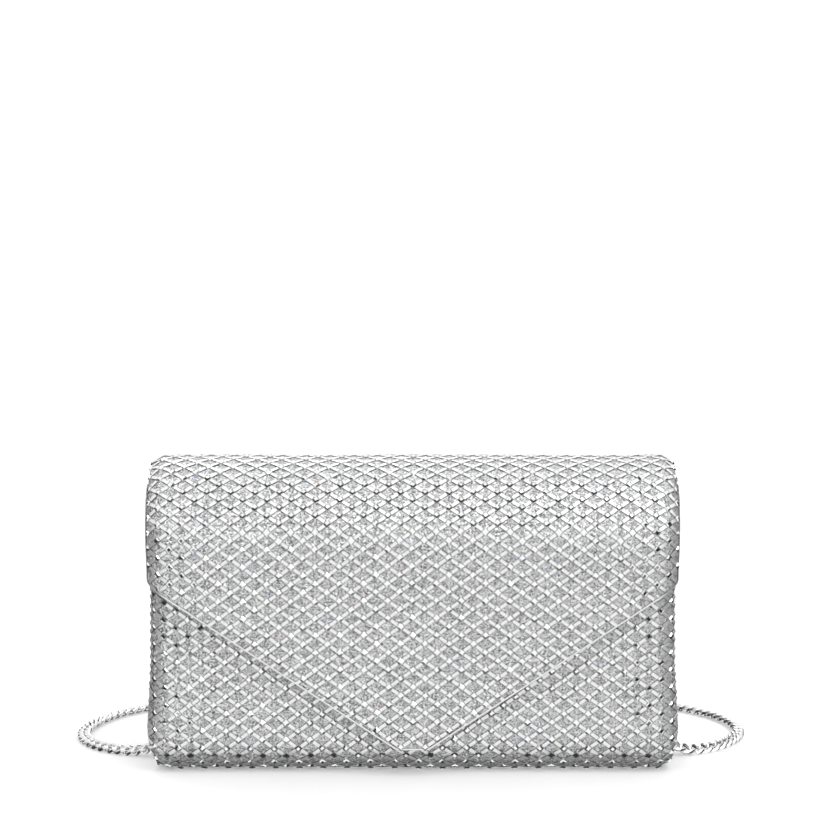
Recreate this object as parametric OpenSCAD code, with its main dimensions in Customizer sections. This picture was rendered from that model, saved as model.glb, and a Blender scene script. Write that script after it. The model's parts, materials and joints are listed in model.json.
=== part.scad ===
/* [Flap] */
// Width of the flap across its wings
flap_w = 250; // [230:1:270]
// Height of the wing corners, where the flap's sides turn into its point
wing_z = 93; // [84:1:97]
// Height that the flap's two slanted edges aim at, on the centre line
point_z = 8; // [4:1:12]
// Width of the blunt end of the flap's point
tip_w = 15; // [8:1:24]
// How far the flap's front leans out at the bottom, in degrees
lean = 2.7; // [2:0.1:3.2]

/* [Body] */
// Width of the front, base and back panels
body_w = 248; // [228:1:260]
// Height of the closed bag
bag_h = 148; // [144:1:160]
// Height of the front panel and the gussets
front_h = 101; // [96:1:104]
// Radius of the roll along the bottom of the front
front_roll_r = 16; // [12:1:18]
// Radius of the roll along the bottom of the back
back_roll_r = 6; // [5:1:9]

/* [Layers] */
// Thickness of the glitter fabric skin
skin_t = 0.8; // [0.6:0.1:1]
// Thickness of the stiffener board in the panels
board_t = 1.2; // [1.1:0.1:1.4]
// Thickness of the satin lining
lining_t = 0.5; // [0.3:0.1:0.6]
// Thickness of the foam in the soft top
foam_t = 2.5; // [1.5:0.1:3]
// Space between the closed flap and the front panel, which the snap fills
snap_gap = 2.6; // [2.4:0.1:3]

/* [Hardware] */
// Height of the magnetic snap's centre
snap_z = 37; // [30:1:46]
// Outer radius of the magnetic snap
snap_r = 7; // [6:0.5:8]
// Height of the bar that each D-ring hangs from
ring_z = 91; // [86:1:93]
// Outer diameter of the strap chain
chain_d = 6; // [5:0.5:6]

/* [Hidden] */
$fn = 48;

// Layers lie this far apart, the thickness of the glue
glue = 0.05;
// Clearance between pieces that move past each other
clear = 0.3;
board_in = skin_t + glue;
lining_in = board_in + board_t + glue;
wall_in = lining_in + lining_t + glue;
// Boards and foam stop this far inside the skin's rounded edges, and linings this far
board_margin = 5;
lining_margin = 2;
flap_board_t = 0.95;
flap_lining_t = 0.45;
flap_lining_in = board_in + flap_board_t + glue;
flap_t = flap_lining_in + flap_lining_t;
foam_lining_in = board_in + foam_t + glue;
front_in = flap_t + snap_gap;
board_w = body_w - 2 * board_margin;
lining_w = body_w - 2 * lining_margin;

// The soft top in steps of [length, turn in degrees], from the back edge over to the front
top_steps = [[13.8, 79], [4, 12], [29, 48], [17, 10], [7.5, 14]];
front_bend = [7.5, 17 - lean];
flap_slope = (wing_z - point_z) / (flap_w / 2);
tip_z = point_z + flap_slope * tip_w / 2;

function last(list) = list[len(list) - 1];
function heading(a) = [cos(a), sin(a)];
function left_of(a) = [-sin(a), cos(a)];
function total_turn(steps, k = 0) = k == len(steps) ? 0 : steps[k][1] + total_turn(steps, k + 1);

// The points of one step of a path: a straight line, or an arc that turns to the left
function step_points(p, a, step) =
    let(turn = step[1], r = turn == 0 ? 0 : step[0] * 180 / (turn * PI), n = ceil(turn / 5))
    turn == 0 ? [p + step[0] * heading(a)]
    : [for (i = [1:n]) p + r * (left_of(a) - left_of(a + turn * i / n))];

// A path from p along heading a, as points
function path(p, a, steps, k = 0) =
    k == len(steps) ? [p]
    : let(points = step_points(p, a, steps[k]))
      concat([p], [for (i = [0:1:len(points) - 2]) points[i]],
             path(last(points), a + steps[k][1], steps, k + 1));

// The same path moved a distance in to its left
function inset_steps(steps, d) = [for (s = steps) [s[0] - d * s[1] * PI / 180, s[1]]];
function inset_path(p, a, steps, d) = path(p + d * left_of(a), a, inset_steps(steps, d));
function reversed(list) = [for (i = [len(list) - 1:-1:0]) list[i]];

// An outline between two insets of one path
function layer(p, a, steps, near, far) =
    concat(inset_path(p, a, steps, near), reversed(inset_path(p, a, steps, far)));

// Points of a round corner at q, between its neighbours p and s
function corner(p, q, s, r, n = 8) =
    let(
        u = (p - q) / norm(p - q),
        v = (s - q) / norm(s - q),
        half = acos(u * v) / 2,
        c = q + (u + v) / norm(u + v) * r / sin(half),
        start = q + u * r / tan(half) - c,
        end = q + v * r / tan(half) - c,
        a = atan2(start[1], start[0]),
        b = atan2(end[1], end[0]),
        turn = (b - a + 540) % 360 - 180
    )
    [for (i = [0:n]) c + r * heading(a + turn * i / n)];

function rounded(points, radii) =
    let(n = len(points))
    [for (i = [0:n - 1]) each corner(points[(i + n - 1) % n], points[i], points[(i + 1) % n], radii[i])];

// Half of the bag's depth, from the back panel to the flap's point, which lies furthest forward
front_a = 90 + total_turn(top_steps);
drop_a = front_a + front_bend[1];
over = path([0, 0], 90, concat(top_steps, [front_bend]));
flap_start_z = bag_h - max([for (p = over) p[1]]);
back_y = ((last(over)[1] + flap_start_z - tip_z) * tan(lean) - last(over)[0]) / 2;
// Height of the fold between the back panel and the flap, a little under the flap's first point
fold_z = flap_start_z - 0.2;

// Where the soft top ends and where the flap's straight front begins
flap_start = [back_y, flap_start_z];
top_end = last(path(flap_start, 90, top_steps));
bend_end = last(path(top_end, front_a, [front_bend]));
drop_len = (bend_end[1] - 6) / cos(lean);

// The flap's front surface at a height, and the same line moved in
function drop_y(z, inset) = bend_end[0] - (bend_end[1] - z) * tan(lean) + inset / cos(lean);

// The body's outer surface: down the front, along the base and up the back
front_top = [drop_y(front_h, front_in), front_h];
roll_turn = 90 + lean;
front_len = (front_h - front_roll_r * (1 + sin(lean))) / cos(lean);
front_steps = [[front_len, 0]];
roll_start = last(path(front_top, drop_a, front_steps));
roll_step = [front_roll_r * roll_turn * PI / 180, roll_turn];
base_start = last(path(roll_start, drop_a, [roll_step]));
base_len = back_y - back_roll_r - base_start[0];
back_step = [back_roll_r * PI / 2, 90];
base_steps = [roll_step, [base_len, 0], back_step];
back_start = [back_y, back_roll_r];
back_steps = [[fold_z - 0.2 - back_roll_r, 0]];

gusset_wall_x = 108;
gusset_points = [[121, -30], [gusset_wall_x, -9], [gusset_wall_x, 15], [121, 36]];
gusset_t = 0.8;
gusset_mid_y = 3;

ring_bar_x = gusset_wall_x + gusset_t + 2.45;
ring_tilt = 25;
ring_wire = 1;
ring_r = 6;
ring_arm = 3;
ring_drop = ring_r + ring_arm;
bow = [ring_bar_x + ring_drop * sin(ring_tilt), ring_z - ring_drop * cos(ring_tilt)];

// Room between the ring and the hook, so that the hook can swivel on the ring's curve
hook_room = 1.1;
hook_in = 3.2;
hook_wire = 2.4;
hook_len = 5;
hook_t = 3.2;
hook_top = bow[1] + ring_wire + hook_room - hook_in;
hook_low = hook_top - hook_len;
gate_x = bow[0] + hook_in + hook_wire / 2;
gate_t = 1.5;
boss_z = hook_low - hook_in - hook_wire - 5;
eye_wire = 0.8;
eye_r = 2.4;
eye_z = boss_z - 2 - eye_r - eye_wire;
chain_top = eye_z - eye_r - eye_wire;

// The strap lies in these points, from the right clasp to the coil
right_route = [
    [bow[0], 3, chain_top], [115, 3, 40], [115.5, 4, 28], [118, 6, 19], [123, 8, 12],
    [129, 10.5, 6.4], [137, 13.5, 3.4], [146, 18, 3], [154.5, 26, 3], [161, 36, 3],
    [165, 48, 3], [165, 61, 3], [160.5, 75, 3], [152, 88, 3], [140, 99, 3], [125, 106, 3],
    [107, 107, 3], [88, 101, 3], [69, 88, 3], [53, 74, 3], [37, 61, 3]
];
// And in these from the left clasp to the coil, where it comes down off the top of the turns
left_route = [
    [-bow[0], 3, chain_top], [-115, 3, 40], [-115, 4, 28], [-117, 6, 18], [-121, 8, 11],
    [-128, 9.5, 6], [-137, 11.5, 3.4], [-146, 15, 3], [-155, 21, 3], [-162.5, 31, 3],
    [-166.5, 43, 3], [-166.5, 57, 3], [-162, 72, 3], [-154, 86, 3], [-142, 98, 3],
    [-127, 106.5, 3], [-109, 109, 3], [-91, 104, 3], [-74, 93, 4], [-58, 81, 6.5],
    [-44, 73, 8.5]
];
coil_centre = [0, 86];
coil_outer = 43;
coil_inner = 19;
coil_h = 12;

// Fabric and board --------------------------------------------------------------------

// A side profile (y, z) run across the bag's width
module across(width) {
    rotate([90, 0, 90]) linear_extrude(width, center = true) children();
}

module body_layer(p, a, steps, near, far, width = body_w) {
    across(width) polygon(layer(p, a, steps, near, far));
}

// A disc on the flap's straight front or the panel behind it, its axis square to the surface
module on_front(inset) {
    translate([0, drop_y(snap_z, inset), snap_z]) rotate([90 - lean, 0, 0]) children();
}

module disc(r, low, high) {
    translate([0, 0, low]) cylinder(r = r, h = high - low);
}

module front_skin() {
    color("silver") difference() {
        body_layer(front_top, drop_a, front_steps, 0, skin_t);
        on_front(front_in) disc(1.5, -3, 1);
    }
}

module base_skin() {
    color("silver") body_layer(roll_start, drop_a, base_steps, 0, skin_t);
}

module back_skin() {
    color("silver") body_layer(back_start, 90, back_steps, 0, skin_t);
}

module front_board() {
    color("tan") difference() {
        body_layer(front_top, drop_a, front_steps, board_in, board_in + board_t, board_w);
        on_front(front_in) disc(1.5, -3, 1);
        on_front(front_in) disc(6.2, -3, 0.6 - board_in - board_t);
    }
}

module base_board() {
    color("tan") body_layer(base_start, 0, [[base_len, 0]], board_in, board_in + board_t, board_w);
}

module back_board() {
    color("tan") body_layer(back_start, 90, back_steps, board_in, board_in + board_t, board_w);
}

// Soft filler behind the two rolled bottom edges
module edge_foam() {
    color("white") {
        body_layer(roll_start, drop_a, [roll_step], board_in, board_in + board_t, board_w);
        body_layer([back_y - back_roll_r, 0], 0, [back_step], board_in, board_in + board_t, board_w);
    }
}

module front_lining() {
    color("gainsboro") body_layer(front_top, drop_a, front_steps, lining_in, wall_in - glue, lining_w);
}

module base_lining() {
    color("gainsboro") body_layer(roll_start, drop_a, base_steps, lining_in, wall_in - glue, lining_w);
}

module back_lining() {
    color("gainsboro") body_layer(back_start, 90, back_steps, lining_in, wall_in - glue, lining_w);
}

// A folded strip over the front panel's top edge, whose inner leg stops short of the gussets
module front_binding() {
    strip_t = 0.5;
    strip_h = 6;
    strip_top = 0.6;
    inner_leg_w = 2 * gusset_wall_x + 4;
    color("silver") difference() {
        across(body_w) at_front_top(-strip_t, wall_in + strip_t, -strip_h, strip_top);
        across(body_w + 2) at_front_top(-glue, wall_in, -strip_h - 1, glue);
        for (side = [-1, 1]) translate([side * (inner_leg_w + 40) / 2, 0, 0])
            across(40) at_front_top(wall_in - glue, wall_in + 2, -strip_h - 1, strip_top + 1);
    }
}

// A side profile at the front panel's top edge, between two insets and two heights along the panel
module at_front_top(near, far, low, high) {
    polygon([
        for (p = [[near, low], [near, high], [far, high], [far, low]])
            front_top + p[0] * left_of(drop_a) - p[1] * heading(drop_a)
    ]);
}

// The gusset's plan: its wall folds inwards, with a flat middle
function shifted(points, d) = [
    for (i = [0:len(points) - 1])
        let(
            before = i == 0 ? points[1] - points[0] : points[i] - points[i - 1],
            after = i == len(points) - 1 ? before : points[i + 1] - points[i],
            u = before / norm(before),
            v = after / norm(after),
            n = [-u[1] - v[1], u[0] + v[0]]
        )
        points[i] + 2 * d * n / (n * n)
];

module gusset_wall(near, far, height) {
    intersection() {
        translate([0, 0, 1]) linear_extrude(height - 1)
            polygon(concat(shifted(gusset_points, near), reversed(shifted(gusset_points, far))));
        across(2 * body_w) polygon(concat(
            inset_path(front_top, drop_a, front_steps, wall_in),
            inset_path(roll_start, drop_a, base_steps, wall_in),
            [[back_y - wall_in, front_h + 20], front_top + [wall_in, 20]]
        ));
    }
}

module gusset() {
    color("silver") gusset_wall(-gusset_t, 0, front_h);
}

module gusset_lining() {
    color("gainsboro") gusset_wall(glue, glue + 0.4, front_h - 1);
}

pocket_w = 150;
pocket_z = [30, 84];

module pocket_sheet(low, high, sheet_t) {
    translate([-pocket_w / 2, back_y - wall_in - glue - sheet_t, low])
        cube([pocket_w, sheet_t, high - low]);
}

module slip_pocket() {
    color("gainsboro") pocket_sheet(pocket_z[0], pocket_z[1], 0.6);
}

module pocket_binding() {
    color("silver") pocket_sheet(pocket_z[1] + glue, pocket_z[1] + 3, 1.2);
}

// Soft top and flap --------------------------------------------------------------------

// The flap's outline seen from the front, its sides and point moved in by a margin
module flap_outline(margin = 0) {
    half = flap_w / 2 - margin;
    corner_z = wing_z + margin * (sqrt(1 + flap_slope * flap_slope) - flap_slope);
    end_z = tip_z + margin;
    end_half = half - (corner_z - end_z) / flap_slope;
    across_front = [
        [-half, bag_h + 0.5], [-half, corner_z], [-end_half, end_z],
        [end_half, end_z], [half, corner_z], [half, bag_h + 0.5]
    ];
    rotate([90, 0, 0]) linear_extrude(200, center = true)
        polygon(rounded(across_front, [7, 3, 3, 3, 3, 7]));
}

module top_layer(near, far, margin = 0) {
    intersection() {
        across(flap_w) polygon(layer(flap_start, 90, top_steps, near, far));
        flap_outline(margin);
    }
}

// The front half starts a little past the fold, which lets it turn
module flap_layer(near, far, margin = 0) {
    steps = [[front_bend[0] * 0.92, front_bend[1] * 0.92], [drop_len, 0]];
    start_a = front_a + front_bend[1] * 0.08;
    start = last(path(top_end, front_a, [front_bend * 0.08]));
    intersection() {
        across(flap_w) polygon(layer(start, start_a, steps, near, far));
        flap_outline(margin);
    }
}

module flap_top_skin() {
    color("silver") top_layer(0, skin_t);
}

module flap_foam() {
    color("white") top_layer(board_in, board_in + foam_t, board_margin);
}

module flap_top_lining() {
    color("gainsboro") top_layer(foam_lining_in, foam_lining_in + lining_t, lining_margin);
}

module flap_front_skin() {
    color("silver") flap_layer(0, skin_t);
}

module flap_board() {
    color("tan") difference() {
        flap_layer(board_in, board_in + flap_board_t, board_margin);
        on_front(flap_t) disc(1.5, -1, 3);
        on_front(flap_t) disc(6.2, 1, 3);
    }
}

module flap_front_lining() {
    color("gainsboro") difference() {
        flap_layer(flap_lining_in, flap_t, lining_margin);
        on_front(flap_t) disc(1.5, -1, 3);
    }
}

// Magnetic snap -------------------------------------------------------------------------

module snap_socket() {
    color("silver") on_front(front_in) difference() {
        union() {
            disc(snap_r, 0, 1.3);
            disc(1.4, -board_in - board_t, 0.1);
        }
        disc(snap_r / 2, 0.3, 2);
    }
}

module snap_socket_plate() {
    color("silver") on_front(front_in) difference() {
        disc(6, -board_in - board_t, -board_in - board_t + 0.5);
        disc(1.5, -5, 0);
    }
}

module snap_stud() {
    color("silver") on_front(flap_t) {
        disc(snap_r - 0.5, -1, 0);
        disc(2.2, -2.1, -0.5);
        disc(1.4, -0.5, flap_t - board_in);
    }
}

module snap_stud_plate() {
    color("silver") on_front(flap_t) difference() {
        disc(6, flap_t - board_in - 0.4, flap_t - board_in);
        disc(1.5, 0, 3);
    }
}

// Strap hardware, drawn on the right and mirrored to the left ----------------------------

module left() {
    mirror([1, 0, 0]) children();
}

// A fabric loop, stitched to the gusset's flat middle, that holds the D-ring's bar
module ring_tab() {
    loop_r = 2.35;
    tab_w = 9;
    color("silver") difference() {
        union() {
            translate([ring_bar_x, gusset_mid_y, ring_z]) rotate([90, 0, 0])
                cylinder(r = loop_r, h = tab_w, center = true);
            translate([ring_bar_x - loop_r, gusset_mid_y - tab_w / 2, ring_z])
                cube([2, tab_w, front_h - ring_z]);
        }
        translate([ring_bar_x, gusset_mid_y, ring_z]) rotate([90, 0, 0])
            cylinder(r = ring_wire + clear, h = tab_w + 1, center = true);
    }
}

module d_ring() {
    color("silver") translate([ring_bar_x, gusset_mid_y, ring_z]) rotate([0, -ring_tilt, 0]) {
        rotate([90, 0, 0]) cylinder(r = ring_wire, h = 2 * ring_r, center = true);
        for (side = [-1, 1]) translate([0, side * ring_r, 0]) {
            sphere(r = ring_wire);
            translate([0, 0, -ring_arm]) cylinder(r = ring_wire, h = ring_arm);
        }
        translate([0, 0, -ring_arm]) rotate([0, 90, 0]) rotate([0, 0, -90])
            rotate_extrude(angle = 180) translate([ring_r, 0]) circle(r = ring_wire);
    }
}

// A flat profile (x, z) of the clasp, as thick as t along y
module clasp_profile(t) {
    translate([0, gusset_mid_y, 0]) rotate([90, 0, 0]) linear_extrude(t, center = true) children();
}

module stadium(r) {
    union() {
        translate([bow[0], hook_top]) circle(r = r);
        translate([bow[0], hook_low]) circle(r = r);
        translate([bow[0] - r, hook_low]) square([2 * r, hook_len]);
    }
}

module clasp() {
    pivot_r = 2;
    color("silver") difference() {
        union() {
            clasp_profile(hook_t) difference() {
                union() {
                    stadium(hook_in + hook_wire);
                    translate([gate_x, hook_low]) circle(r = pivot_r);
                }
                stadium(hook_in);
                translate([gate_x - hook_wire, hook_low + pivot_r]) square([9, hook_len - 0.4]);
            }
            translate([bow[0], gusset_mid_y, boss_z]) cylinder(r = 2.6, h = 6.2);
        }
        // The slot and the bore that the gate turns in
        translate([gate_x - 2.2, gusset_mid_y - 0.9, hook_low - 2.2]) cube([9, 1.8, 9]);
        translate([gate_x, gusset_mid_y, hook_low]) rotate([90, 0, 0])
            cylinder(r = 0.5, h = hook_t + 1, center = true);
        // The chamber and the bore that the eye's stem turns in
        translate([bow[0], gusset_mid_y, boss_z + 1.6]) cylinder(r = 1.9, h = 2.8);
        translate([bow[0], gusset_mid_y, boss_z - 1]) cylinder(r = 1.1, h = 3);
    }
}

module gate() {
    color("silver") difference() {
        union() {
            clasp_profile(gate_t) {
                translate([gate_x, hook_low]) circle(r = 1.3);
                translate([gate_x - 0.9, hook_low]) square([1.8, hook_len + 1.2]);
                translate([gate_x + 0.5, hook_low + 2.4]) square([2.2, 1.6]);
            }
        }
        translate([gate_x, gusset_mid_y, hook_low]) rotate([90, 0, 0])
            cylinder(r = 0.55, h = 5, center = true);
    }
}

module gate_pin() {
    color("silver") translate([gate_x, gusset_mid_y, hook_low]) rotate([90, 0, 0])
        cylinder(r = 0.48, h = hook_t, center = true);
}

// The bent spring leaf behind the gate's foot
module gate_spring() {
    color("silver") clasp_profile(0.8)
        translate([gate_x - 2.15, hook_low - 1.5]) square([0.3, 1.5]);
}

module swivel_eye() {
    color("silver") {
        translate([bow[0], gusset_mid_y, boss_z - 2.4]) cylinder(r = 1.03, h = 5);
        translate([bow[0], gusset_mid_y, boss_z + 2]) cylinder(r = 1.7, h = 1.4);
        translate([bow[0], gusset_mid_y, eye_z]) rotate([90, 0, 0])
            rotate_extrude() translate([eye_r, 0]) circle(r = eye_wire);
    }
}

// Strap chain -----------------------------------------------------------------------------

// A point of the smooth curve through a route, t counting its spans
function route_point(route, t) =
    let(
        n = len(route) - 1,
        i = min(floor(t), n - 1),
        f = t - i,
        a = route[max(i - 1, 0)],
        b = route[i],
        c = route[i + 1],
        d = route[min(i + 2, n)]
    )
    0.5 * (2 * b + (c - a) * f + (2 * a - 5 * b + 4 * c - d) * f * f + (3 * b - a - 3 * c + d) * f * f * f);

function unit(v) = v / norm(v);

// A round tube swept along a route; side is 1 on the right and -1 on the left
module tube(route, d, side, sides = 10, per_span = 1.5) {
    spans = len(route) - 1;
    n = round(spans * per_span);
    ref = unit([side, 1, 1]);
    rings = [
        for (k = [0:n])
            let(
                t = spans * k / n,
                p = route_point(route, t),
                dir = k == 0 ? [0, 0, -1]
                    : unit(route_point(route, min(t + 0.05, spans)) - route_point(route, t - 0.05)),
                u = unit(cross(dir, ref)),
                v = cross(dir, u)
            )
            [for (j = [0:sides - 1]) p + d / 2 * (cos(360 * j / sides) * u + sin(360 * j / sides) * v)]
    ];
    wall = [
        for (k = [0:n - 1], j = [0:sides - 1])
            [k * sides + j, k * sides + (j + 1) % sides, (k + 1) * sides + (j + 1) % sides, (k + 1) * sides + j]
    ];
    start_cap = [for (j = [sides - 1:-1:0]) j];
    end_cap = [for (j = [0:sides - 1]) n * sides + j];
    polyhedron([for (ring = rings) each ring], concat([start_cap], wall, [end_cap]), convexity = 6);
}

module chain_left() {
    color("lightgray") tube(left_route, chain_d, -1);
}

module chain_right() {
    color("lightgray") tube(right_route, chain_d, 1);
}

// The outer shape of the wound middle of the strap
module chain_coil() {
    color("lightgray") translate([coil_centre[0], coil_centre[1], 0])
        rotate_extrude($fn = 96) translate([coil_inner, 0]) square([coil_outer - coil_inner, coil_h]);
}

front_skin();
base_skin();
back_skin();
front_board();
base_board();
back_board();
edge_foam();
front_lining();
base_lining();
back_lining();
front_binding();
left() gusset();  // gusset_left
gusset();  // gusset_right
left() gusset_lining();  // gusset_lining_left
gusset_lining();  // gusset_lining_right
slip_pocket();
pocket_binding();
snap_socket();
snap_socket_plate();
left() ring_tab();  // ring_tab_left
ring_tab();  // ring_tab_right
left() d_ring();  // d_ring_left
d_ring();  // d_ring_right
left() swivel_eye();  // swivel_eye_left
swivel_eye();  // swivel_eye_right
left() clasp();  // clasp_left
clasp();  // clasp_right
left() gate();  // gate_left
gate();  // gate_right
left() gate_pin();  // gate_pin_left
gate_pin();  // gate_pin_right
left() gate_spring();  // gate_spring_left
gate_spring();  // gate_spring_right
chain_left();
chain_right();
chain_coil();
flap_top_skin();
flap_foam();
flap_top_lining();
flap_front_skin();
flap_board();
flap_front_lining();
snap_stud();
snap_stud_plate();
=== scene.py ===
import json
import math

import bmesh
import bpy
import numpy as np
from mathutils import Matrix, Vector, geometry


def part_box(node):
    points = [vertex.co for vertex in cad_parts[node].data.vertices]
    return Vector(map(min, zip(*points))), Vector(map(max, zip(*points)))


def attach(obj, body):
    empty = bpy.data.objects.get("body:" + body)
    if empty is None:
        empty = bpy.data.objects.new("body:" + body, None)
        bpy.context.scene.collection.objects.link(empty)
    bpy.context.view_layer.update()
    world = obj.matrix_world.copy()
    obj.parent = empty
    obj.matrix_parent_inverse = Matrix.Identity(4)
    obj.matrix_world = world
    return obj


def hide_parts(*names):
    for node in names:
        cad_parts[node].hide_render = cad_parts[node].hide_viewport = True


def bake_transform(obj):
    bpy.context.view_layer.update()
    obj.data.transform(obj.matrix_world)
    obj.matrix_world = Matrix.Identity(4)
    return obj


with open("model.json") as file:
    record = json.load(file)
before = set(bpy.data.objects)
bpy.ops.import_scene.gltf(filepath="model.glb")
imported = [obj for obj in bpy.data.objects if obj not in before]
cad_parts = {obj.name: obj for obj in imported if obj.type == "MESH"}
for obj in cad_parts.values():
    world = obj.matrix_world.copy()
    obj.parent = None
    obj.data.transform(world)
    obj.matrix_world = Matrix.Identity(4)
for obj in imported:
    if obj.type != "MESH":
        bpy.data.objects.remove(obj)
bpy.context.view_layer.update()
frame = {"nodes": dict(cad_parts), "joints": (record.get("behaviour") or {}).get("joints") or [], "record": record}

# Everything below is worked out in millimetres, and made in metres.
MM = 0.001
FLAP_HALF = 125
SKIN_T = 0.8
LEAN = 2.7          # how far the front leans back, in degrees

# The side profile, as steps of (length, turn in degrees), each turn to the left
TOP_STEPS = [(13.8, 79), (4, 12), (29, 48), (17, 10), (7.5, 14)]
FRONT_BEND = (7.5, 17 - LEAN)
FRONT_ROLL_R = 16
BACK_ROLL_R = 6
SIDES = (("left", -1), ("right", 1))

# The strap's route on both sides, from the clasp on, in millimetres
RIGHT_ROUTE = [
    (115, 3, 40), (115.5, 4, 28), (118, 6, 19), (123, 8, 12), (129, 10.5, 6.4), (137, 13.5, 3.4),
    (146, 18, 3), (154.5, 26, 3), (161, 36, 3), (165, 48, 3), (165, 61, 3), (160.5, 75, 3),
    (152, 88, 3), (140, 99, 3), (125, 106, 3), (107, 107, 3), (88, 101, 3), (69, 88, 3), (53, 74, 3),
    (37, 61, 3),
]
LEFT_ROUTE = [
    (-115, 3, 40), (-115, 4, 28), (-117, 6, 18), (-121, 8, 11), (-128, 9.5, 6), (-137, 11.5, 3.4),
    (-146, 15, 3), (-155, 21, 3), (-162.5, 31, 3), (-166.5, 43, 3), (-166.5, 57, 3), (-162, 72, 3),
    (-154, 86, 3), (-142, 98, 3), (-127, 106.5, 3), (-109, 109, 3), (-91, 104, 3), (-74, 93, 4),
    (-58, 81, 6.5), (-44, 73, 8.5),
]
# The rest of the strap, coiled behind the bag, in metres
COIL_CENTRE = (0, 0.086)
COIL_START_R = 0.04
COIL_PITCH = 0.006
COIL_START_DEG = -60
COIL_TURNS = 3 + 40 / 360
COIL_TOP = 0.009
CHAIN_D = 0.006
LIES_LOWER = 0.0011     # the links are thinner than the cord's room, and lie on the floor


# ---- Camera

def make_camera():
    """A camera a little above the bag, well in front of it, that looks over the bag's top."""
    distance, elevation, pitch = 1.1, math.radians(12), math.radians(6.95)
    target = Vector((0.0035, 0, 0.07))
    back = Vector((0, -math.cos(elevation), math.sin(elevation)))
    data = bpy.data.cameras.new("camera")
    data.lens = 97.1
    data.sensor_width = 36
    camera = bpy.data.objects.new("camera", data)
    camera.location = target + distance * back
    camera.rotation_euler = (math.pi / 2 - pitch, 0, 0)
    bpy.context.scene.collection.objects.link(camera)
    bpy.context.scene.camera = camera


make_camera()


# ---- Materials

class Nodes:
    """A node tree that is put together socket by socket."""

    def __init__(self, tree):
        self.tree = tree

    def put(self, socket, value):
        if isinstance(value, bpy.types.NodeSocket):
            self.tree.links.new(value, socket)
        else:
            socket.default_value = value

    def node(self, kind, *values, **settings):
        """A node with values in its first sockets. A capitalised setting goes into a socket too."""
        made = self.tree.nodes.new("ShaderNode" + kind)
        for name in sorted(settings, key=lambda name: name[0].isupper()):
            if name[0].isupper():
                self.put(made.inputs[name], settings[name])
            else:
                setattr(made, name, settings[name])
        for socket, value in zip(made.inputs, values):
            self.put(socket, value)
        return made

    def math(self, operation, *values):
        return self.node("Math", *values, operation=operation).outputs["Value"]


class Material(Nodes):
    """A principled material, with its textures laid out in millimetres."""

    def __init__(self, name, **shader):
        self.data = bpy.data.materials.new(name)
        self.data.use_nodes = True
        super().__init__(self.data.node_tree)
        self.shader = self.tree.nodes["Principled BSDF"]
        self.set(**shader)

    def set(self, **sockets):
        for name, value in sockets.items():
            self.put(self.shader.inputs[name.replace("_", " ")], value)

    def cloth(self):
        """Where a point lies across, along and through the cloth."""
        return self.node("Attribute", attribute_name="cloth").outputs["Vector"]

    def place(self, scale=1.0):
        """Where a point lies in the piece's own frame, times scale."""
        return self.vector("SCALE", self.node("TexCoord").outputs["Object"], Scale=scale / MM)

    def vector(self, operation, *values, **sockets):
        return self.node("VectorMath", *values, operation=operation, **sockets).outputs["Vector"]

    def noise(self, where, scale, detail=2.0, rough=0.5):
        made = self.node("TexNoise", Vector=where, Scale=scale, Detail=detail, Roughness=rough)
        return made.outputs["Fac"]

    def cells(self, where, scale, output, feature="F1"):
        return self.node("TexVoronoi", feature=feature, Vector=where, Scale=scale).outputs[output]

    def bands(self, where, scale, distortion=0.0):
        made = self.node(
            "TexWave", wave_type="BANDS", bands_direction="DIAGONAL",
            Vector=where, Scale=scale, Distortion=distortion, Detail=2.0,
        )
        return made.outputs["Fac"]

    def spread(self, value, low, high, to_low, to_high):
        """The value, with its range low..high mapped to to_low..to_high and clamped there."""
        return self.node("MapRange", value, low, high, to_low, to_high).outputs["Result"]

    def ramp(self, value, *stops):
        made = self.node("ValToRGB", value)
        elements = made.color_ramp.elements
        for element, (at, grey) in zip(elements, stops):
            element.position = at
            element.color = (*grey, 1) if isinstance(grey, tuple) else (grey, grey, grey, 1)
        return made.outputs["Color"]

    def mix(self, factor, a, b):
        made = self.node("Mix", data_type="RGBA")
        for k, value in ((0, factor), (6, a), (7, b)):
            self.put(made.inputs[k], value)
        return made.outputs[2]

    def bump(self, height, strength, distance):
        made = self.node("Bump", Height=height, Strength=strength, Distance=distance)
        self.set(Normal=made.outputs["Normal"])


def glitter_material():
    """Fine silver flakes in a clear binder: each flake has its own tilt and brightness, and a few
    glint in a colour."""
    flake_cells, small_cells, most_tilt, darkest, rare = 1.45, 2.7, 0.9, 0.07, (0.9985, 0.999)
    m = Material("glitter_fabric", Metallic=0.6)
    flakes = m.cells(m.cloth(), flake_cells, "Color")
    tilt = m.vector("SCALE", m.vector("SUBTRACT", flakes, (0.5, 0.5, 0.5)), Scale=most_tilt)
    normal = m.vector("NORMALIZE", m.vector("ADD", m.node("NewGeometry").outputs["Normal"], tilt))
    flake = m.node("SeparateColor", flakes).outputs
    small = m.node("SeparateColor", m.cells(m.cloth(), small_cells, "Color")).outputs["Red"]
    cloudy = m.spread(m.noise(m.cloth(), 0.06, 3), 0.3, 0.7, -0.03, 0.03)
    both = m.math("ADD", m.spread(flake["Red"], 0, 1, 0.0, 0.55), m.spread(small, 0, 1, 0.0, 0.5))
    shade = m.math("ADD", m.math("ADD", both, cloudy), darkest)
    tint = m.ramp(shade, (0, (0.0, 0.0, 0.0)), (1, (0.985, 0.99, 1.0)))
    for channel, glint in (("Green", (1.0, 0.6, 0.4, 1)), ("Blue", (0.5, 0.66, 1.0, 1))):
        tint = m.mix(m.spread(flake[channel], *rare, 0, 1), tint, glint)
    m.set(Base_Color=tint, Roughness=m.spread(small, 0, 1, 0.3, 0.5), Normal=normal)
    return m.data


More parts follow.
